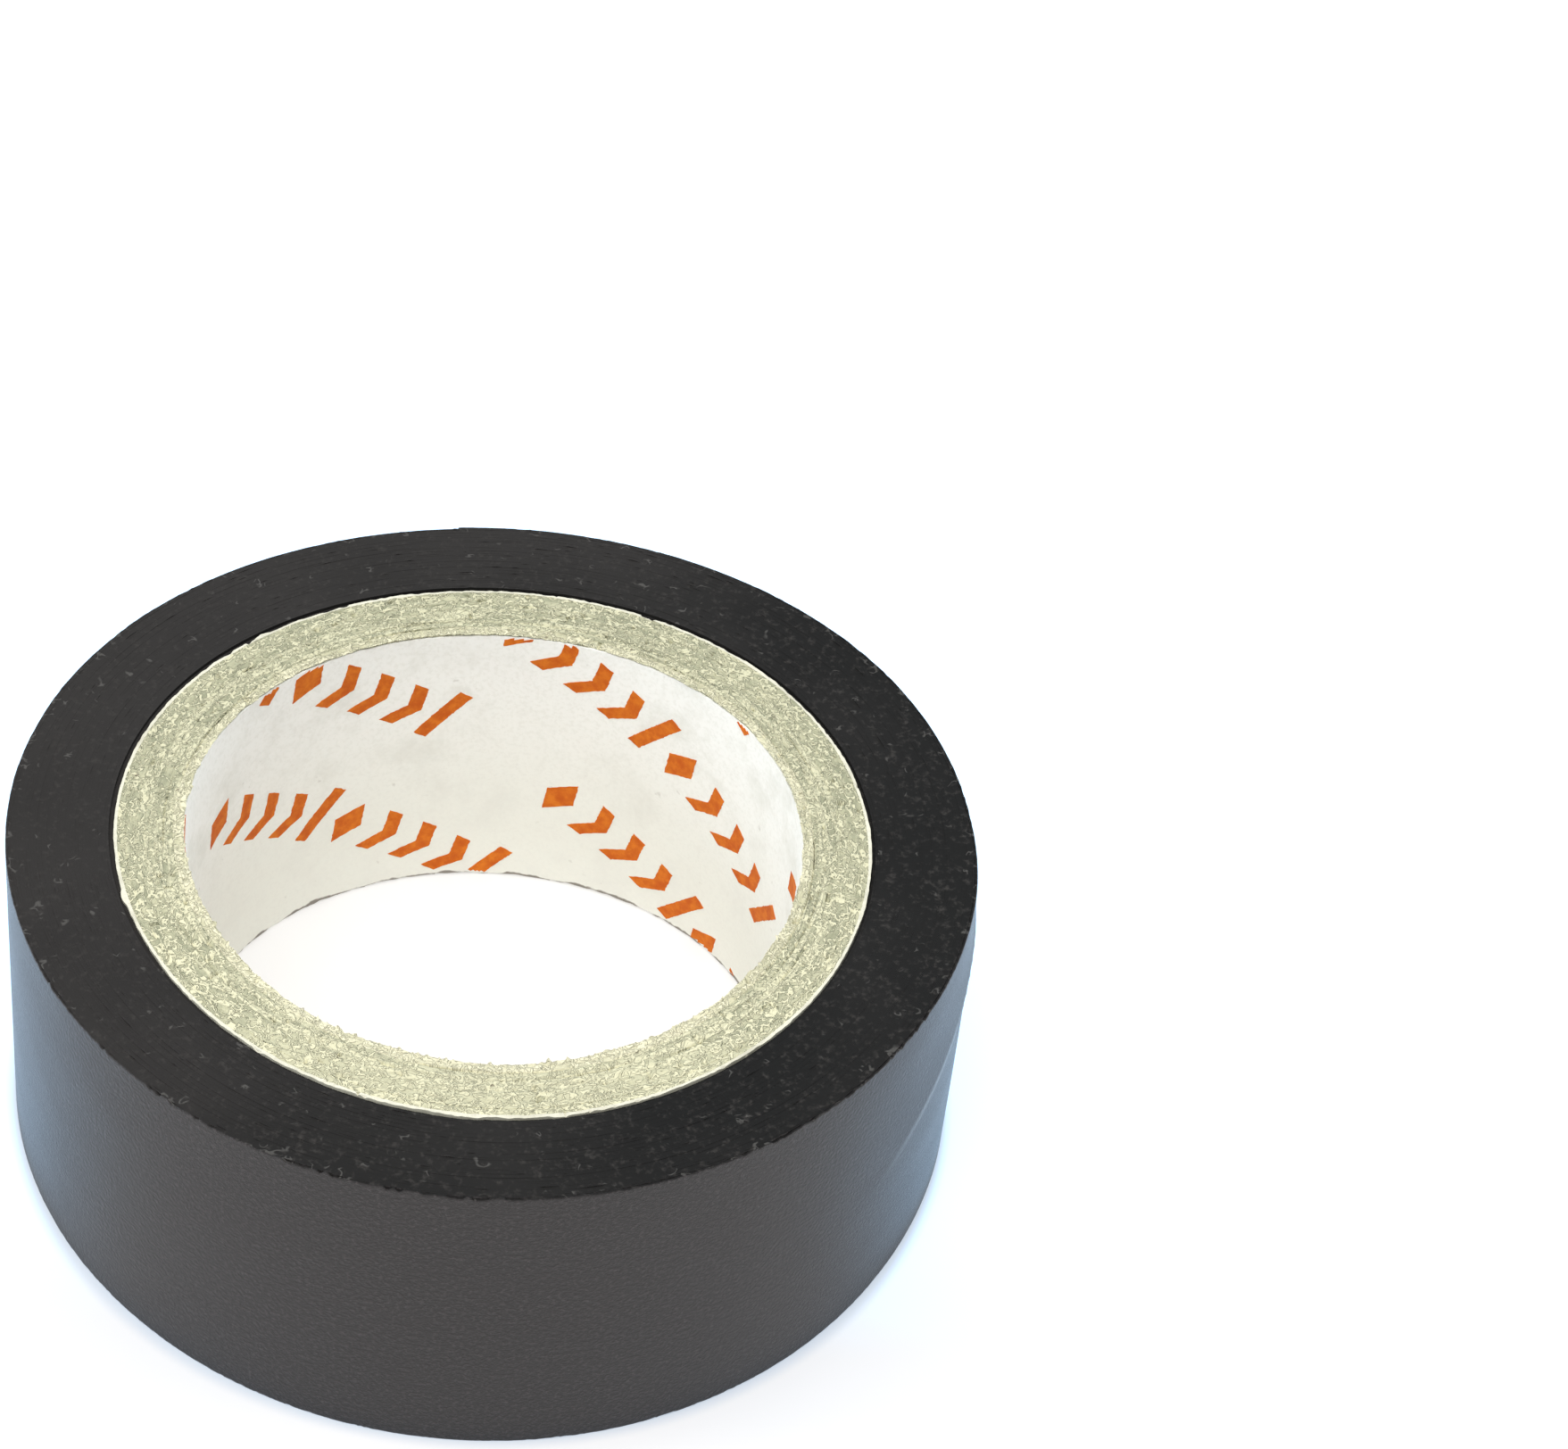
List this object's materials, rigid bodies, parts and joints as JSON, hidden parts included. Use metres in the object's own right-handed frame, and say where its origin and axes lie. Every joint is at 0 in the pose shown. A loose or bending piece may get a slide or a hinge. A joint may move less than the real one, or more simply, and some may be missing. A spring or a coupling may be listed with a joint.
{
  "type": "electrical tape roll",
  "caption": "Roll of black PVC electrical insulation tape wound on a printed, spiral-wound cardboard core, with a free end that peels off.",
  "frame": {"origin": "on the roll's axis, at the level of its lower end face, which rests on the ground", "axes": "+Z along the roll's axis, upwards out of the core's bore; seen from +Z the tape is wound anticlockwise, and its free end lies on the +Y side"},
  "size_m": [0.0519, 0.052, 0.019],
  "materials": {
    "liner_paper": "white coated paper with an orange pattern, slightly grimy",
    "core_board": "grey recycled board, cut ends fibrous",
    "cover_paper": "thin white paper",
    "tape_film": "black plasticised PVC, satin, slightly wrinkled"
  },
  "bodies": {
    "roll": {"core_liner": "liner_paper", "board_ply_1": "core_board", "board_ply_2": "core_board", "board_ply_3": "core_board", "board_ply_4": "core_board", "board_ply_5": "core_board", "board_ply_6": "core_board", "board_ply_7": "core_board", "core_cover": "cover_paper", "tape_windings": "tape_film"},
    "tape_end_1": {"tape_end_1": "tape_film"},
    "tape_end_2": {"tape_end_2": "tape_film"},
    "tape_end_3": {"tape_end_3": "tape_film"},
    "tape_end_4": {"tape_end_4": "tape_film"},
    "tape_end_5": {"tape_end_5": "tape_film"},
    "tape_end_6": {"tape_end_6": "tape_film"}
  },
  "joints": [
    {"name": "peel_1", "type": "hinge", "parent": "roll", "child": "tape_end_1", "pos_m": [0.02047, 0.01609, 0.0095], "axis": [0, 0, -1], "range_deg": [0, 30]},
    {"name": "peel_2", "type": "hinge", "parent": "tape_end_1", "child": "tape_end_2", "pos_m": [0.01737, 0.0194, 0.0095], "axis": [0, 0, -1], "range_deg": [0, 30]},
    {"name": "peel_3", "type": "hinge", "parent": "tape_end_2", "child": "tape_end_3", "pos_m": [0.01375, 0.02213, 0.0095], "axis": [0, 0, -1], "range_deg": [0, 30]},
    {"name": "peel_4", "type": "hinge", "parent": "tape_end_3", "child": "tape_end_4", "pos_m": [0.00971, 0.02418, 0.0095], "axis": [0, 0, -1], "range_deg": [0, 30]},
    {"name": "peel_5", "type": "hinge", "parent": "tape_end_4", "child": "tape_end_5", "pos_m": [0.00538, 0.0255, 0.0095], "axis": [0, 0, -1], "range_deg": [0, 30]},
    {"name": "peel_6", "type": "hinge", "parent": "tape_end_5", "child": "tape_end_6", "pos_m": [0.00088, 0.02605, 0.0095], "axis": [0, 0, -1], "range_deg": [0, 30]}
  ],
  "couplings": [
    {"joint": "peel_2", "follows": "peel_1", "ratio": 1},
    {"joint": "peel_3", "follows": "peel_1", "ratio": 1},
    {"joint": "peel_4", "follows": "peel_1", "ratio": 1},
    {"joint": "peel_5", "follows": "peel_1", "ratio": 1},
    {"joint": "peel_6", "follows": "peel_1", "ratio": 1}
  ]
}
